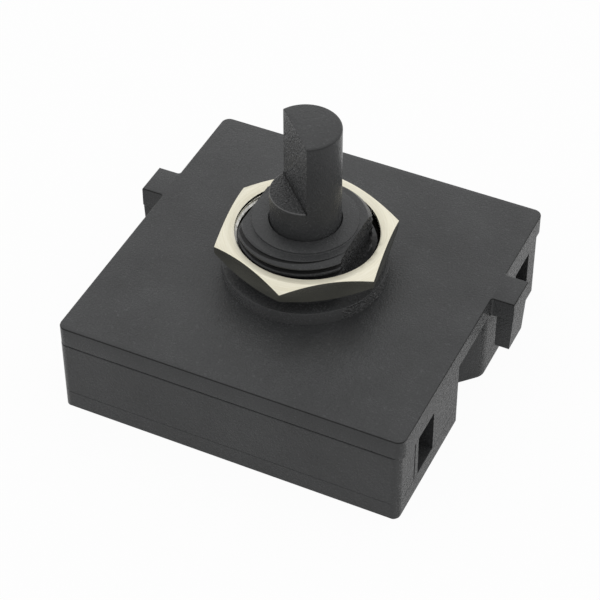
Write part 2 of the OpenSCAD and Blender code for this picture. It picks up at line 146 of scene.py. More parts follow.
# %% Draw a section and spin it
def outline(name, points):
    """A closed line of edges through (radius, height) points, as a section to spin."""
    bpy.ops.object.select_all(action="DESELECT")
    bpy.ops.mesh.primitive_circle_add(vertices=len(points), fill_type="NOTHING")
    piece = bpy.context.object
    piece.name = name
    for vert, (radius, height) in zip(piece.data.vertices, points):
        vert.co = (radius, 0, height)
    return piece


def turned(name, points, steps=128):
    """Spins a section round the shaft's axis into a closed solid."""
    piece = only(outline(name, points))
    bpy.ops.object.mode_set(mode="EDIT")
    bpy.ops.mesh.select_all(action="SELECT")
    bpy.ops.mesh.spin(steps=steps, angle=2 * math.pi, center=(0, 0, 0), axis=(0, 0, 1))
    bpy.ops.mesh.select_all(action="SELECT")
    bpy.ops.mesh.remove_doubles(threshold=0.001 * MM)
    bpy.ops.mesh.normals_make_consistent(inside=False)
    bpy.ops.object.mode_set(mode="OBJECT")
    return piece


def arc(centre, radius, start, end, steps=5):
    """Points of an arc in a section, from one angle in degrees to another."""
    angles = [math.radians(start + (end - start) * i / steps) for i in range(steps + 1)]
    return [(centre[0] + radius * math.cos(a), centre[1] + radius * math.sin(a)) for a in angles]


# %% Combine and soften
def combine(piece, tool, how):
    """Joins the tool to the piece with UNION, or cuts with DIFFERENCE or INTERSECT."""
    only(piece)
    boolean = piece.modifiers.new("combine", "BOOLEAN")
    boolean.operation = how
    boolean.solver = "EXACT"
    boolean.object = tool
    bpy.ops.object.modifier_apply(modifier=boolean.name)
    bpy.data.objects.remove(tool)
    return piece


def soften(piece, width, segments=2, angle=35):
    """Rounds the sharp edges of a piece and shades it smooth up to an angle."""
    only(piece)
    bevel = piece.modifiers.new("soften", "BEVEL")
    bevel.width = width
    bevel.segments = segments
    bevel.limit_method = "ANGLE"
    bevel.angle_limit = math.radians(angle)
    bevel.use_clamp_overlap = True
    bpy.ops.object.modifier_apply(modifier=bevel.name)
    bpy.ops.object.shade_smooth_by_angle(angle=math.radians(angle))
    return piece


# %% [markdown]
# ## The thread
# A real thread is cut by moving a pointed tool along the turning work. The same can be done here:
# the tool's section is swept along a helix by a Screw modifier and then subtracted. A row of plain
# grooves would be easier, but they would not climb round the neck, and the climb shows clearly
# where a flat cuts across the turns. The tool's narrow edge makes the thread's root, and its wide
# side stands a little past the surface that is cut, so that no skin is left.

# %% Thread tool
NECK_R = 5.70 * MM
NUT_BORE_R = 5.88 * MM
THREAD_PITCH = 0.75 * MM
THREAD_DEPTH = 0.53 * MM
THREAD_FLOOR = 0.08 * MM
THREAD_SLOPE = math.tan(math.radians(26))
THREAD_START = math.radians(-78)
THREAD_STEPS = 96
print("thread pitch and depth in mm:", round(THREAD_PITCH / MM, 2), round(THREAD_DEPTH / MM, 2))


def thread_tool(name, floor_r, open_r, low, turns):
    """A helical tool whose narrow edge runs at floor_r and whose wide side is at open_r."""
    reach = abs(open_r - floor_r) * THREAD_SLOPE
    half_floor = THREAD_FLOOR / 2
    half_open = half_floor + reach
    tool = only(outline(name, [(floor_r, -half_floor), (open_r, -half_open),
                               (open_r, half_open), (floor_r, half_floor)]))
    screw = tool.modifiers.new("helix", "SCREW")
    screw.axis = "Z"
    screw.angle = 2 * math.pi
    screw.screw_offset = THREAD_PITCH
    screw.iterations = turns
    screw.steps = THREAD_STEPS
    screw.render_steps = THREAD_STEPS
    bpy.ops.object.modifier_apply(modifier=screw.name)
    tool.location.z = low
    tool.rotation_euler.z = THREAD_START
    settle(tool)
    bpy.ops.object.mode_set(mode="EDIT")
    bpy.ops.mesh.select_mode(type="EDGE")
    bpy.ops.mesh.select_all(action="DESELECT")
    bpy.ops.mesh.select_non_manifold()
    bpy.ops.mesh.fill_holes(sides=0)
    bpy.ops.mesh.select_all(action="SELECT")
    bpy.ops.mesh.normals_make_consistent(inside=False)
    bpy.ops.object.mode_set(mode="OBJECT")
    return tool


# %% [markdown]
# ## The cover
# The cover is one moulding: a square plate with a tab on either side, a round collar that the panel
# rests on, and the threaded neck. The plate starts as a cube. Its upright corners are bevelled, two
# strips of its sides are cut free with bisect and pulled out into tabs, and its rims are rounded.
# The collar and neck are turned from one section and joined to the plate, and then the thread and
# two flats are cut as they would be on the real mould. Only the right flat faces the camera. The left
# one shows as a straight gap between the neck and the nut.

# %% Cover sizes
PLATE_W = 31.0 * MM
PLATE_D = 30.6 * MM
PLATE_PLAY = 0.12 * MM
CORNER_R = 0.75 * MM
TAB_OUT = 2.05 * MM
TAB_LOW_Y = 3.15 * MM
TAB_HIGH_Y = 6.35 * MM
TAB_FILLET = 0.25 * MM
RIM_R = 0.12 * MM
SEAM = 0.1 * MM
COLLAR_RIM = 0.06 * MM
COLLAR_R = 7.1 * MM
COLLAR_TOP = COVER_TOP + 1.25 * MM
FACE_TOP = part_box("cover")[1].z
FACE_R = 4.5 * MM
NECK_TOP = FACE_TOP - 0.22 * MM
NECK_LEAD = 0.5 * MM
NECK_TURNS = 6
NECK_TAP_PAST = 0.15 * MM
TOP_ROOT = NECK_TOP - 0.16 * MM
SHAFT_BORE_R = 3.05 * MM
NECK_FLAT_X = 4.65 * MM


# %% Cover plate
def cover_plate():
    """The square plate with its two side tabs and soft rims."""
    bpy.ops.object.select_all(action="DESELECT")
    bpy.ops.mesh.primitive_cube_add(size=1, location=(0, 0, COVER_TOP - PLATE_T / 2),
                                    scale=(PLATE_W, PLATE_D, PLATE_T))
    plate = bpy.context.object
    plate.name = "cover_shell"
    settle(plate)
    bpy.ops.object.mode_set(mode="EDIT")
    pick(plate, "edges", upright)
    bpy.ops.mesh.bevel(offset=CORNER_R, segments=8, affect="EDGES")
    for cut_y in (TAB_LOW_Y, TAB_HIGH_Y):
        bpy.ops.mesh.select_all(action="SELECT")
        bpy.ops.mesh.bisect(plane_co=(0, cut_y, 0), plane_no=(0, 1, 0))
    for side in (-1, 1):
        pick(plate, "faces", lambda face: face.normal.x * side > 0.99
             and TAB_LOW_Y < face.calc_center_median().y < TAB_HIGH_Y)
        bpy.ops.mesh.extrude_region_move(TRANSFORM_OT_translate={"value": (side * TAB_OUT, 0, 0)})
    pick(plate, "edges", lambda edge: upright(edge)
         and abs(abs(middle(edge).x) - PLATE_W / 2) < SEAM
         and min(abs(middle(edge).y - TAB_LOW_Y), abs(middle(edge).y - TAB_HIGH_Y)) < SEAM)
    bpy.ops.mesh.bevel(offset=TAB_FILLET, segments=4, affect="EDGES")
    for height, width, segments in ((COVER_TOP, RIM_R, 3), (BODY_TOP, SEAM, 1)):
        pick(plate, "edges", lambda edge: abs(middle(edge).z - height) < SEAM / 10
             and any(abs(face.normal.z) < 0.5 for face in edge.link_faces))
        bpy.ops.mesh.bevel(offset=width, segments=segments, affect="EDGES")
    bpy.ops.object.mode_set(mode="OBJECT")
    plate.location.x = PLATE_PLAY
    return settle(plate)


# %% Collar, neck, flats and thread
def neck_section():
    """Half section of the collar and neck round the shaft's bore."""
    below = BODY_TOP + 0.02 * MM
    step = 0.06 * MM
    return ([(SHAFT_BORE_R, below), (COLLAR_R, below)]
            + arc((COLLAR_R - COLLAR_RIM, COLLAR_TOP - COLLAR_RIM), COLLAR_RIM, 0, 90, 3)
            + [(NECK_R, COLLAR_TOP), (NECK_R, NECK_TOP - NECK_LEAD), (NECK_R - NECK_LEAD, NECK_TOP),
               (FACE_R + step, NECK_TOP), (FACE_R, NECK_TOP + step)]
            + arc((FACE_R - step, FACE_TOP - step), step, 0, 90, 2)
            + [(SHAFT_BORE_R + step, FACE_TOP), (SHAFT_BORE_R, FACE_TOP - step)])


def flat_block(way):
    """The block that cuts a flat on the neck's right side, where way is 1, or on its left, -1."""
    side = 2 * COLLAR_R
    middle_x = way * (NECK_FLAT_X + side / 2)
    bpy.ops.object.select_all(action="DESELECT")
    bpy.ops.mesh.primitive_cube_add(size=side, location=(middle_x, 0, COLLAR_TOP + side / 2))
    return settle(bpy.context.object)


def make_cover():
    """The whole cover as one moulding."""
    cover = cover_plate()
    hole_r = (NECK_R + COLLAR_R) / 2
    bpy.ops.mesh.primitive_cylinder_add(vertices=96, radius=hole_r, depth=4 * PLATE_T,
                                        location=(0, 0, COVER_TOP))
    combine(cover, settle(bpy.context.object), "DIFFERENCE")
    neck = turned("neck", neck_section())
    low = TOP_ROOT - (NECK_TURNS - 1) * THREAD_PITCH
    combine(neck, thread_tool("tap", NECK_R - THREAD_DEPTH, NECK_R + NECK_TAP_PAST, low, NECK_TURNS),
            "DIFFERENCE")
    for way in (1, -1):
        combine(neck, flat_block(way), "DIFFERENCE")
    combine(cover, neck, "UNION")
    only(cover)
    bpy.ops.object.shade_smooth_by_angle(angle=math.radians(30))
    return cover


cover = make_cover()
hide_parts("cover")
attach(cover, "housing")
print("cover faces:", len(cover.data.polygons))

# %% [markdown]
# ## The nut
# The nut is turned from hexagon bar: both faces get a flat cone that takes off the six points, the
# bore is threaded, and its mouth is opened with a shallow cone. So the hexagon is cut by a turned
# form first, and the thread is taken out after that. A hair of bevel on every edge gives the bright
# lines that plated metal shows. A nut is always a little loose on its thread. In the photograph it
# has slipped to one side and leans a degree to the right, so it is turned and moved by that much at
# the end, and raised until its low side clears the collar when it is screwed right down.

# %% Nut
NUT_AF = 13.7 * MM
NUT_LOW, NUT_HIGH = [corner.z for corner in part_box("panel_nut")]
NUT_T = NUT_HIGH - NUT_LOW
NUT_TURN = math.radians(38.6)
NUT_SLOPE = math.tan(math.radians(30))
NUT_MOUTH_R = 6.66 * MM
NUT_LIP_R = 6.10 * MM
NUT_SINK = 0.16 * MM
NUT_WALL = 0.26 * MM
NUT_EDGE = 0.03 * MM
NUT_THREAD_DEPTH = 0.3 * MM
NUT_TAP_PAST = 0.1 * MM
NUT_THREAD_UP = 0.035 * MM
NUT_TURNS = 5
NUT_PLAY = Vector((0.171, -0.014, 0.105)) * MM
NUT_LEAN = (math.radians(-0.46), math.radians(1.11), 0)


def make_nut():
    """The chamfered hexagon nut with its threaded bore."""
    point_r = NUT_AF / math.sqrt(3)
    drop = (point_r - NUT_AF / 2) * NUT_SLOPE
    bpy.ops.object.select_all(action="DESELECT")
    bpy.ops.mesh.primitive_cylinder_add(vertices=6, radius=point_r, depth=NUT_T,
                                        location=(0, 0, NUT_LOW + NUT_T / 2),
                                        rotation=(0, 0, NUT_TURN - math.pi / 6))
    nut = bpy.context.object
    nut.name = "hexagon_nut"
    settle(nut)
    over = 0.05 * MM
    upper = [(point_r + over, NUT_HIGH - drop), (NUT_AF / 2, NUT_HIGH), (NUT_MOUTH_R, NUT_HIGH),
             (NUT_LIP_R, NUT_HIGH - NUT_SINK), (NUT_LIP_R, NUT_HIGH - NUT_SINK - NUT_WALL),
             (NUT_BORE_R, NUT_HIGH - 2 * NUT_SINK - NUT_WALL)]
    lower = [(radius, NUT_LOW + NUT_HIGH - height) for radius, height in reversed(upper)]
    combine(nut, turned("cone", upper + lower), "INTERSECT")
    combine(nut, thread_tool("nut_tap", NUT_BORE_R + NUT_THREAD_DEPTH, NUT_BORE_R - NUT_TAP_PAST,
                             NUT_LOW - THREAD_PITCH + NUT_THREAD_UP, NUT_TURNS), "DIFFERENCE")
    soften(nut, NUT_EDGE, angle=18)
    top = Vector((0, 0, NUT_HIGH))
    nut.rotation_euler = NUT_LEAN
    nut.location = top + NUT_PLAY - Euler(NUT_LEAN).to_matrix() @ top
    return settle(nut)


nut = make_nut()
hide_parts("panel_nut")
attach(nut, "nut")
print("nut faces:", len(nut.data.polygons))

# %% [markdown]
# ## The shaft
# The shaft is a round bar whose upper end is cut to a D, so that a knob can turn it. It is turned
# from a section with a soft upper rim. The D is cut with a block, and a narrow bevel then rounds
# the flat's edges the way a mould does.

# %% Shaft
SHAFT_R = 3.0 * MM
SHAFT_LOW, SHAFT_TOP = [corner.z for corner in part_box("selector_shaft")]
SHAFT_RIM = 0.22 * MM
SHAFT_EDGE = 0.04 * MM
D_FOOT = SHAFT_TOP - 6.75 * MM
D_FLAT = 0.9 * MM
D_TURN = math.radians(225)
SHOULDER_R = 4.2 * MM
SHOULDER_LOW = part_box("rotor")[1].z
SHOULDER_TOP = SHOULDER_LOW + 0.65 * MM
HUB_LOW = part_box("rotor")[0].z
DRIVE_W = 4.2 * MM
JOURNAL_R = 1.5 * MM


def shaft_section():
    """Half section of the shaft from the shoulder to the top."""
    return ([(0, SHOULDER_LOW), (SHOULDER_R, SHOULDER_LOW), (SHOULDER_R, SHOULDER_TOP),
             (SHAFT_R, SHOULDER_TOP), (SHAFT_R, D_FOOT - SHAFT_RIM), (SHAFT_R, D_FOOT + SHAFT_RIM)]
            + arc((SHAFT_R - SHAFT_RIM, SHAFT_TOP - SHAFT_RIM), SHAFT_RIM, 0, 90)
            + [(0, SHAFT_TOP)])


def make_shaft():
    """The shaft with its D-end, driving square and journal."""
    shaft = turned("d_shaft", shaft_section())
    side = 3 * SHAFT_R
    bpy.ops.object.select_all(action="DESELECT")
    bpy.ops.mesh.primitive_cube_add(size=side)
    block = bpy.context.object
    block.location = (math.cos(D_TURN) * (D_FLAT + side / 2), math.sin(D_TURN) * (D_FLAT + side / 2),
                      D_FOOT + side / 2)
    block.rotation_euler.z = D_TURN
    combine(shaft, settle(block), "DIFFERENCE")
    sunk = 0.2 * MM
    bpy.ops.mesh.primitive_cube_add(size=1, location=(0, 0, (HUB_LOW + SHOULDER_LOW + sunk) / 2),
                                    scale=(DRIVE_W, DRIVE_W, SHOULDER_LOW - HUB_LOW + sunk))
    combine(shaft, settle(bpy.context.object), "UNION")
    bpy.ops.mesh.primitive_cylinder_add(vertices=48, radius=JOURNAL_R, depth=HUB_LOW - SHAFT_LOW + sunk,
                                        location=(0, 0, (SHAFT_LOW + HUB_LOW + sunk) / 2))
    combine(shaft, settle(bpy.context.object), "UNION")
    return soften(shaft, SHAFT_EDGE, angle=40)


shaft = make_shaft()
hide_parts("selector_shaft")
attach(shaft, "turning_group")
print("shaft faces:", len(shaft.data.polygons))

# %% [markdown]
# ## Writing a finish as sums
# A finish is a tree of small nodes. Wired one by one they are hard to read, so a small class lets
# the values be added and multiplied like numbers, and each sum becomes the Math node it stands for.
# A second class holds the material, and one method of it makes every other node.


# %% A value that can stand in a sum
class Wire:
    """One output of a node that can be used in a sum."""

    def __init__(self, finish, socket):
        self.finish = finish
        self.socket = socket

    def sum(self, operation, first, second):
        """A Math node, which takes its two values in the order that they are written."""
        return self.finish.node("ShaderNodeMath", {"operation": operation}, {0: first, 1: second})

    def __add__(self, other):
        return self.sum("ADD", self, other)

    def __radd__(self, other):
        return self.sum("ADD", other, self)

    def __sub__(self, other):
        return self.sum("SUBTRACT", self, other)

    def __rsub__(self, other):
        return self.sum("SUBTRACT", other, self)

    def __mul__(self, other):
        return self.sum("MULTIPLY", self, other)

    def __rmul__(self, other):
        return self.sum("MULTIPLY", other, self)

    def __gt__(self, other):
        return self.sum("GREATER_THAN", self, other)

    def __lt__(self, other):
        return self.sum("LESS_THAN", self, other)


# %% A material made by calls
class Finish:
    """A material whose nodes are made by calls."""

    def __init__(self, name, **plain):
        self.material = bpy.data.materials.new(name)
        self.material.use_nodes = True
        self.nodes = self.material.node_tree.nodes
        self.links = self.material.node_tree.links
        self.shader = self.nodes["Principled BSDF"]
        for key, value in plain.items():
            self.shader.inputs[self.socket_name(key)].default_value = value

    def socket_name(self, key):
        """The shader's own name for a socket, such as Base Color for base_color."""
        return key.replace("_", " ").title().replace("Ior", "IOR")

    def put(self, socket, value):
        """Links a Wire to a socket, or writes a plain value on it."""
        if isinstance(value, Wire):
            self.links.new(value.socket, socket)
        else:
            socket.default_value = value

    def node(self, kind, settings=None, values=None, out=0):
        """Adds a node with its settings and socket values, and gives one of its outputs."""
        made = self.nodes.new(kind)
        for key, value in (settings or {}).items():
            setattr(made, key, value)
        for key, value in (values or {}).items():
            self.put(made.inputs[key], value)
        return Wire(self, made.outputs[out])

    def noise(self, place, scale, detail=2.0, roughness=0.5):
        """A noise between nought and one, with so many grains to a metre."""
        return self.node("ShaderNodeTexNoise", None, {"Vector": place, "Scale": scale, "Detail": detail,
                                                      "Roughness": roughness})

    def blend(self, amount, first, second):
        """A colour between two others."""
        return self.node("ShaderNodeMix", {"data_type": "RGBA"},
                         {"Factor": amount, "A": first, "B": second}, out="Result")

    def range(self, value, low, high, new_low=0.0, new_high=1.0):
        """Stretches the numbers from low to high over a new range, and stops at its ends."""
        return self.node("ShaderNodeMapRange", {"clamp": True},
                         {"Value": value, "From Min": low, "From Max": high,
                          "To Min": new_low, "To Max": new_high})

    def set(self, **values):
        """Sets or links sockets of the shader, and gives the finished material."""
        for key, value in values.items():
            self.put(self.shader.inputs[self.socket_name(key)], value)
        return self.material


def grey(level, warmth=0.0):
    """A linear grey, a little warmer or cooler."""
    return (level * (1 + warmth), level, level * (1 - warmth), 1)


# %% [markdown]
# ## Black plastic
# The mouldings are black plastic from a spark-eroded mould, which leaves a fine even grain. At a
# steep view the grain only dulls the shine. Along the right side, which is seen at a flat angle, it
# breaks the reflection of the pale table into small light and dark points. One grey would look flat
# beside that. So a noise of about a sixth of a millimetre drives a Bump node, a slower noise makes
# the gloss uneven, and the coarse walls get deeper pits with a few painted glints among them, light
# points painted into the colour.

# %% Plastic values
PLASTIC_LEVEL = 0.040
BASE_LEVEL = PLASTIC_LEVEL * 0.93
SHAFT_LEVEL = PLASTIC_LEVEL * 0.9
PLASTIC_GLOSS = 0.25
PLASTIC_BEND = 1.36
PLASTIC_TINT = -0.025
GLOSS_SPAN = 0.12
GRAIN_DEPTH = 0.05 * MM
CLOUD_SIZE = 5 * MM
DUST_SIZE = 0.34 * MM
DUST_SPAN = (0.66, 0.74)
DUST_TONE = 0.6
PIT_TONE = 5.5
# Painted glints: the light points painted into the colour of the coarse walls.
GLINT_SPAN = (0.56, 0.7)
GLINT_MOST = 0.5
NOISE_SPAN = (0.3, 0.7)
TONE_SPAN = (0.0, 1.6)
DARKEST = 0.7
LIGHTEST = 1.7
# Grey of the dark lines: the seam, and painted shade in the thread, under rims and in the shaft's fold.
LINE_DARK = 0.15
# Grey of the painted highlights and painted glints, as a share of the plastic's level.
PAINTED_HIGHLIGHT = 4
LINE_DULL = 0.3
print("plastic grey from", round(PLASTIC_LEVEL * DARKEST, 3), "to", round(PLASTIC_LEVEL * LIGHTEST, 3))


# %% Black plastic finish
def split(finish, place):
    """The three numbers of a vector."""
    parts = finish.node("ShaderNodeSeparateXYZ", None, {"Vector": place}).socket.node
    return [Wire(finish, parts.outputs[i]) for i in range(3)]


def from_axis(finish, x, y):
    """The distance from the shaft's axis."""
    return finish.node("ShaderNodeMath", {"operation": "POWER"}, {0: x * x + y * y, 1: 0.5})


def between(value, low, high):
    """One between two limits, else nought."""
    return (value > low) * (value < high)


def black_plastic(name, level, grain_mm, gloss=PLASTIC_GLOSS, coarse=None, pit_mm=0.22, pits_by=9.0,
                  lines=None):
    """Matt moulded plastic: fine grain, pits and painted glints where coarse says, dark lines and painted
    highlights.
    """
    finish = Finish(name, ior=PLASTIC_BEND)
    place = finish.node("ShaderNodeTexCoord", out=3)
    fine = finish.noise(place, 1 / (grain_mm * MM), 3.0, 0.6)
    slow = finish.noise(place, 1 / CLOUD_SIZE, 3.0, 0.55)
    uneven = finish.range(slow * 0.5 + fine * 0.5, *NOISE_SPAN)
    dust = finish.range(finish.noise(place, 1 / DUST_SIZE, 1.0, 0.5), *DUST_SPAN)
    tone = uneven + dust * DUST_TONE
    height = fine
    if coarse:
        part = coarse(finish, place)
        pits = finish.noise(place, 1 / (pit_mm * MM), 2.0, 0.7)
        height = fine + pits * part * pits_by
        tone = tone + (pits - 0.5) * part * PIT_TONE
    colour = finish.blend(finish.range(tone, *TONE_SPAN), grey(level * DARKEST, PLASTIC_TINT),
                          grey(level * LIGHTEST, PLASTIC_TINT))
    if coarse:
        # Painted glints: a few light points painted into the colour of the coarse parts.
        spark = finish.range(pits, *GLINT_SPAN, 0.0, GLINT_MOST) * part
        colour = finish.blend(spark, colour, grey(level * PAINTED_HIGHLIGHT))
    rough = uneven * GLOSS_SPAN + (gloss - GLOSS_SPAN / 2)
    if lines:
        # The dark lines are the seam and painted shade, and the light lines are painted highlights.
        dark, light = lines(finish, place)
        colour = finish.blend(dark, colour, grey(level * LINE_DARK))
        colour = finish.blend(light, colour, grey(level * PAINTED_HIGHLIGHT))
        rough = rough + dark * LINE_DULL
    bump = finish.node("ShaderNodeBump", None,
                       {"Strength": 1.0, "Distance": GRAIN_DEPTH, "Height": height})
    return finish.set(base_color=colour, roughness=rough, normal=bump)


# %% [markdown]
# ## Lines where plastic meets plastic
# A moulding has a dark line along its seam. The other lines here are painted light and shade:
# painted shade deep in the thread, under a rim and in the fold at the foot of the shaft's flat, and a
# painted highlight on the collar's wall and on the edge of the shaft's ledge. Such lines could be
# painted on an image, but then each one would need its own place in a map. Here a line is a band
# between two heights or radii, read from the piece's own coordinates, so it turns and moves with the
# piece.

# %% Bands on the cover
HAIR = 0.03 * MM
THIN = 0.02 * MM
WAVE_SIZE = 1.5 * MM
WAVE_HIGH = 0.12 * MM
# Painted shade in the thread: how far inside the crest the groove is painted dark.
GROOVE_DARK = 0.14 * MM
SIDE_FACING = 0.6
# Painted light on the collar's wall: how much lighter it is made.
COLLAR_PAINTED_LIGHT = 0.18


def side_walls(finish, place):
    """One on the walls that face left or right, else nought."""
    x = split(finish, finish.node("ShaderNodeNewGeometry", out=3))[0]
    return x * x > SIDE_FACING


def cover_lines(finish, place):
    """Painted shade under the upper rim and in the thread, a dark seam, painted light on the collar's wall.
    """
    x, y, z = split(finish, place)
    wave = (finish.noise(place, 1 / WAVE_SIZE, 2.0, 0.6) - 0.5) * WAVE_HIGH
    # Painted shade: a dark line under the plate's upper rim.
    rim = between(z, COVER_TOP - RIM_R, COVER_TOP - HAIR)
    seam = z + wave < BODY_TOP + SEAM
    # Painted shade deep in the thread's grooves.
    lead = finish.range(z, NECK_TOP - NECK_LEAD, NECK_TOP, 0.0, NECK_LEAD)
    radius = from_axis(finish, x, y)
    groove = radius + lead < NECK_R - GROOVE_DARK
    flat = NECK_FLAT_X - HAIR
    threaded = between(z, COLLAR_TOP + THIN, NECK_TOP - HAIR) * between(x, -flat, flat)
    # Painted light: the collar's wall is made lighter.
    wall = between(z, COVER_TOP + THIN, COLLAR_TOP - 2 * THIN) * (radius > COLLAR_R - HAIR)
    return finish.range(rim + seam + groove * threaded, 0.0, 1.0), wall * COLLAR_PAINTED_LIGHT


# %% Bands on the shaft
# Painted shade in the fold at the foot of the flat.
FOLD_WIDTH = 0.09 * MM
FOLD_HIGH = 0.06 * MM
# Painted highlight on the edge of the ledge at the foot of the flat.
LEDGE_HIGHLIGHT_WIDTH = 0.07 * MM
LEDGE_HIGHLIGHT_HIGH = 0.06 * MM
LEDGE_HIGHLIGHT_FROM = 0.1 * MM
# Painted shade under the shaft's top rim.
RIM_BAND = (SHAFT_TOP - 0.2 * MM, SHAFT_TOP - 0.07 * MM)
RIM_IN = 0.05 * MM
RIM_SHADE = 0.5


def off_flat(x, y):
    """How far a point lies from the shaft's axis towards the flat."""
    return x * math.cos(D_TURN) + y * math.sin(D_TURN)


def shaft_flat(finish, place):
    """One on the shaft's flat and on the ledge at its foot, else nought."""
    x, y, z = split(finish, place)
    return (off_flat(x, y) > D_FLAT - HAIR) * (z > D_FOOT - THIN)


def shaft_lines(finish, place):
    """Painted shade in the flat's lower fold and under the top rim, a painted highlight on the ledge's
    edge.
    """
    x, y, z = split(finish, place)
    out = off_flat(x, y)
    radius = from_axis(finish, x, y)
    # Painted shade in the fold.
    fold = between(out, D_FLAT - HAIR, D_FLAT + FOLD_WIDTH) * between(z, D_FOOT - HAIR, D_FOOT + FOLD_HIGH)
    # Painted highlight on the ledge's edge.
    ledge_highlight = (radius > SHAFT_R - LEDGE_HIGHLIGHT_WIDTH) * between(z, D_FOOT - LEDGE_HIGHLIGHT_HIGH, D_FOOT + THIN)
    # Painted shade under the top rim.
    rim = between(z, *RIM_BAND) * (radius > SHAFT_R - RIM_IN)
    return fold + rim * RIM_SHADE, ledge_highlight * (out > D_FLAT + LEDGE_HIGHLIGHT_FROM)


# %% The three black finishes
cover_finish = black_plastic("cover_plastic", PLASTIC_LEVEL, 0.15, coarse=side_walls, lines=cover_lines)
base_finish = black_plastic("base_plastic", BASE_LEVEL, 0.16, coarse=side_walls)
shaft_finish = black_plastic("shaft_plastic", SHAFT_LEVEL, 0.16, coarse=shaft_flat, pit_mm=0.19,
                             pits_by=5.0, lines=shaft_lines)
for material in (cover_finish, base_finish, shaft_finish):
    print(material.name, "has", len(material.node_tree.nodes), "nodes")


# %% [markdown]
# ## Nickel plate
# The nut's two faces were turned and then plated, which leaves fine rings and a milky, almost white
# sheen. Its six sides are drawn bar, smooth as a mirror, and a painted reflection makes their colour
# darker upward. The bore is dull, with painted shade that makes it nearly black on the right and a
# painted highlight on the flanks of the thread on the left. Three materials could be laid on by
# face. One material does it all here: the surface's own normal says which way a face looks, its
# distance from the axis says whether it is in the bore, its height and side place the painted
# reflection and the painted shade, and these blend the colour, the metallic share, the roughness
# and the rings.

# %% Nickel values
FACE_DARK = (0.77, 0.725, 0.56, 1)
FACE_LIGHT = (0.90, 0.865, 0.73, 1)
FACE_METAL = 0.3
FACE_TILT = (0.35, 0.6)
FLANK_TILT = (0.2, 0.5)
# Painted reflection: the sides' colour darkens from the bottom to the top.
SIDE_PAINTED_LOW = (0.68, 0.67, 0.58, 1)
SIDE_PAINTED_HIGH = (0.38, 0.375, 0.325, 1)
SIDE_PAINTED_FADE = 0.3 * MM
# Painted shade and highlight in the bore: dark on the right, lighter on the left with bright flanks.
BORE_PAINTED_SHADE = (0.06, 0.06, 0.05, 1)
BORE_PAINTED_LIT = (0.20, 0.19, 0.13, 1)
BORE_DULL = 0.3
FLANK_PAINTED_HIGHLIGHT = (0.98, 0.97, 0.92, 1)
PAINTED_LIT_SPAN = (-2.0 * MM, 1.0 * MM)
NICKEL_ROUGH = (0.16, 0.42)
FACE_UNEVEN = 0.3
RING_SCALE = (14000.0, 2.0, 3000.0)
RING_DEPTH = 0.006 * MM
WIDE_SCALE = 500.0
print("rings on the nut, apart in mm:", round(1 / RING_SCALE[0] / MM, 3))


# %% Nickel finish
def nickel_plate():
    """Plated steel: ringed satin faces, mirror sides with a painted reflection, a dull bore with painted
    shade and highlights.
    """
    finish = Finish("nickel_plate")
    place = finish.node("ShaderNodeTexCoord", out=3)
    x, y, z = split(finish, place)
    lean = split(finish, finish.node("ShaderNodeNewGeometry", out=3))[2]
    tilt = finish.node("ShaderNodeMath", {"operation": "ABSOLUTE"}, {0: lean})
    x = x - NUT_PLAY[0]
    y = y - NUT_PLAY[1]
    radius = from_axis(finish, x, y)
    outer = radius > NUT_LIP_R - THIN
    face = finish.range(tilt, *FACE_TILT) * outer
    # Painted shade on the bore's right side, and painted highlight on the flanks of its left side.
    painted_lit_left = finish.range(x, *PAINTED_LIT_SPAN, 1.0, 0.0)
    flank = finish.range(tilt, *FLANK_TILT) * painted_lit_left
    around = finish.node("ShaderNodeMath", {"operation": "ARCTAN2"}, {0: y, 1: x})
    rings = finish.node("ShaderNodeCombineXYZ", None, {0: radius * RING_SCALE[0], 1: around * RING_SCALE[1],
                                                       2: z * RING_SCALE[2]})
    marks = finish.noise(rings, 1.0, 4.0, 0.65)
    wide = finish.noise(place, WIDE_SCALE, 2.0, 0.5)
    faces = finish.blend(finish.range(marks, *NOISE_SPAN), FACE_DARK, FACE_LIGHT)
    # The bore's colour is painted shade and painted highlight.
    bore = finish.blend(flank, finish.blend(painted_lit_left, BORE_PAINTED_SHADE, BORE_PAINTED_LIT), FLANK_PAINTED_HIGHLIGHT)
    # Painted reflection on the sides, darker upward.
    upward = finish.range(z, NUT_LOW + SIDE_PAINTED_FADE, NUT_HIGH - SIDE_PAINTED_FADE)
    sides = finish.blend(upward, SIDE_PAINTED_LOW, SIDE_PAINTED_HIGH)
    colour = finish.blend(face, finish.blend(outer, bore, sides), faces)
    spread = (marks * 0.6 + wide * 0.4 - 0.5) * face * FACE_UNEVEN
    rough = finish.range(face, 0.0, 1.0, *NICKEL_ROUGH) + spread + (1 - outer) * painted_lit_left * BORE_DULL
    metal = finish.range(face, 0.0, 1.0, 1.0, FACE_METAL)
    bump = finish.node("ShaderNodeBump", None,
                       {"Strength": 0.6, "Distance": RING_DEPTH, "Height": marks * face})
    return finish.set(base_color=colour, roughness=rough, metallic=metal, normal=bump)


nickel_finish = nickel_plate()
print(nickel_finish.name, "has", len(nickel_finish.node_tree.nodes), "nodes")

# %% [markdown]
# ## The metals and the rotor inside
# Springs, contacts and clamps are stamped from rolled sheet, which keeps faint streaks along the
# way it was rolled. They are seen only through the four windows. Rings as on the nut would be
# wasted there, so one function makes all four metals from two tones and a noise that is stretched
# along X. The rotor is a pale moulding, and takes the same function as the black plastic.

# %% Inner finishes
SHEET_STREAKS = (400, 9000, 9000)
SHEET_GLOSS_BY = 0.08


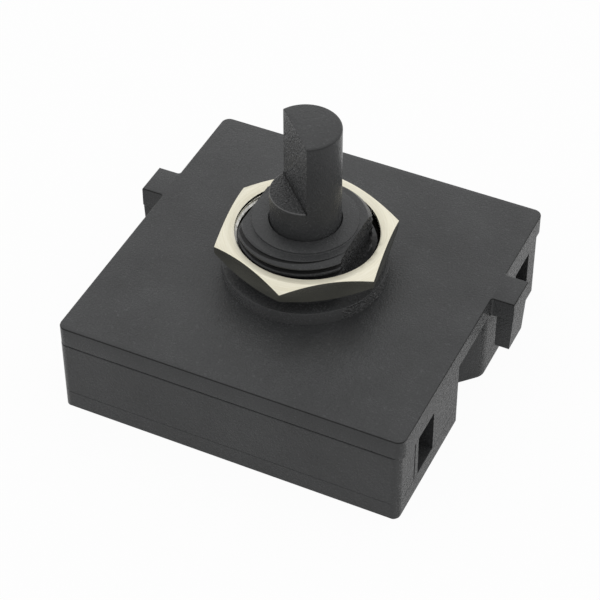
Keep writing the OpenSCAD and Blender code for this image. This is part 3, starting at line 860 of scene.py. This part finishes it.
def sheet_metal(name, dark, bright, gloss, metallic=1.0):
    """Rolled or stamped metal with faint streaks along X."""
    finish = Finish(name, metallic=metallic)
    place = finish.node("ShaderNodeTexCoord", out=3)
    streaks = finish.node("ShaderNodeMapping", None, {"Vector": place, "Scale": SHEET_STREAKS})
    mark = finish.noise(streaks, 1.0, 3.0, 0.6)
    colour = finish.blend(mark, dark, bright)
    rough = finish.range(mark, *NOISE_SPAN, gloss - SHEET_GLOSS_BY, gloss + SHEET_GLOSS_BY)
    return finish.set(base_color=colour, roughness=rough)


rotor_finish = black_plastic("rotor_plastic", 0.40, 0.5, gloss=0.45)
bronze_finish = sheet_metal("spring_bronze", (0.60, 0.34, 0.17, 1), (0.78, 0.48, 0.27, 1), 0.30)
brass_finish = sheet_metal("contact_brass", (0.62, 0.45, 0.19, 1), (0.80, 0.63, 0.32, 1), 0.32)
silver_finish = sheet_metal("contact_silver", (0.72, 0.72, 0.70, 1), (0.88, 0.88, 0.86, 1), 0.22)
steel_finish = sheet_metal("spring_steel", (0.42, 0.42, 0.41, 1), (0.60, 0.60, 0.58, 1), 0.30)

# %% Give every piece its finish
FINISH_NODES = (
    (base_finish, ("base", "base_plate")),
    (rotor_finish, ("rotor",)),
    (bronze_finish, ("wiper",)),
    (silver_finish, ("wiper_tips", "contact_buttons")),
    (brass_finish, ("wiper_rivets", "common_contact", "line_contact_1", "line_contact_2",
                    "line_contact_3")),
    (steel_finish, ("index_spring_front", "index_spring_rear", "clamp_spring_1", "clamp_spring_2",
                    "clamp_spring_3", "clamp_spring_4")),
)


def wear(piece, material):
    """Gives a piece one material."""
    piece.data.materials.clear()
    piece.data.materials.append(material)


for material, names in FINISH_NODES:
    for node_name in names:
        wear(nodes[node_name], material)
    print(material.name, "on", ", ".join(names))
wear(cover, cover_finish)
wear(nut, nickel_finish)
wear(shaft, shaft_finish)

# %% [markdown]
# ## Floor and light
# The switch was photographed on white, in soft light from all round. A few lamps would show as hard
# spots on the nut, so the light is one pale room: the world is a little brighter overhead and darker
# on the side where the camera stands, which gives the black walls their shade. The camera sees the
# world as white and the floor as nearly white, and a mirrored ray sees the floor paler than it is,
# while the light that falls on the plastic stays at a plain level. The floor keeps the soft shadow
# round the foot of the housing.

# %% Pale floor
FLOOR_SIZE = 1.2
FLOOR_TONE = 0.65
FLOOR_GAP = 0.02 * MM
FLOOR_SEEN = 0.96
FLOOR_MIRRORED = 0.6


def pale_floor():
    """A pale floor that the camera sees as white and that keeps the switch's soft shadow."""
    bpy.ops.object.select_all(action="DESELECT")
    bpy.ops.mesh.primitive_plane_add(size=FLOOR_SIZE, location=(0, 0, -FLOOR_GAP))
    floor = bpy.context.object
    floor.name = "floor"
    finish = Finish("floor_white", base_color=grey(FLOOR_TONE), roughness=0.9)
    path = finish.node("ShaderNodeLightPath").socket.node
    camera_ray, mirror_ray, glass_ray = [Wire(finish, path.outputs[key]) for key in
                                         ("Is Camera Ray", "Is Glossy Ray", "Is Transmission Ray")]
    seen = camera_ray * FLOOR_SEEN + (mirror_ray + glass_ray) * FLOOR_MIRRORED
    white = finish.node("ShaderNodeEmission", None, {"Color": (1, 1, 1, 1), "Strength": 1.0})
    plain = Wire(finish, finish.shader.outputs[0])
    mixed = finish.node("ShaderNodeMixShader", None, {0: seen, 1: plain, 2: white})
    finish.put(finish.nodes["Material Output"].inputs["Surface"], mixed)
    wear(floor, finish.material)
    return floor


floor = pale_floor()
print("floor height in mm:", round(floor.location.z / MM, 2))

# %% Light from the room
SKY_TOP = 1.2
SKY_LOW = 0.95
CAMERA_SIDE = 0.6
CAMERA_SIDE_SPAN = (-0.9, 0.1)


class Room(Finish):
    """The world, whose nodes are made by the same calls as a material's."""

    def __init__(self, name):
        self.material = bpy.data.worlds.new(name)
        self.material.use_nodes = True
        self.nodes = self.material.node_tree.nodes
        self.links = self.material.node_tree.links
        self.shader = self.nodes["Background"]


def studio_light():
    """A pale room, a little brighter overhead and darker on the side where the camera stands."""
    room = Room("room")
    y, z = split(room, room.node("ShaderNodeTexCoord"))[1:]
    level = room.range(z, 0.0, 1.0, SKY_LOW, SKY_TOP) * room.range(y, *CAMERA_SIDE_SPAN, CAMERA_SIDE, 1.0)
    path = room.node("ShaderNodeLightPath").socket.node
    seen = Wire(room, path.outputs["Is Camera Ray"])
    return room.set(color=(1, 1, 1, 1), strength=level + (1 - level) * seen)


bpy.context.scene.world = studio_light()
bpy.context.scene.view_settings.view_transform = "Standard"
print("world:", bpy.context.scene.world.name, "from", SKY_LOW, "to", SKY_TOP)
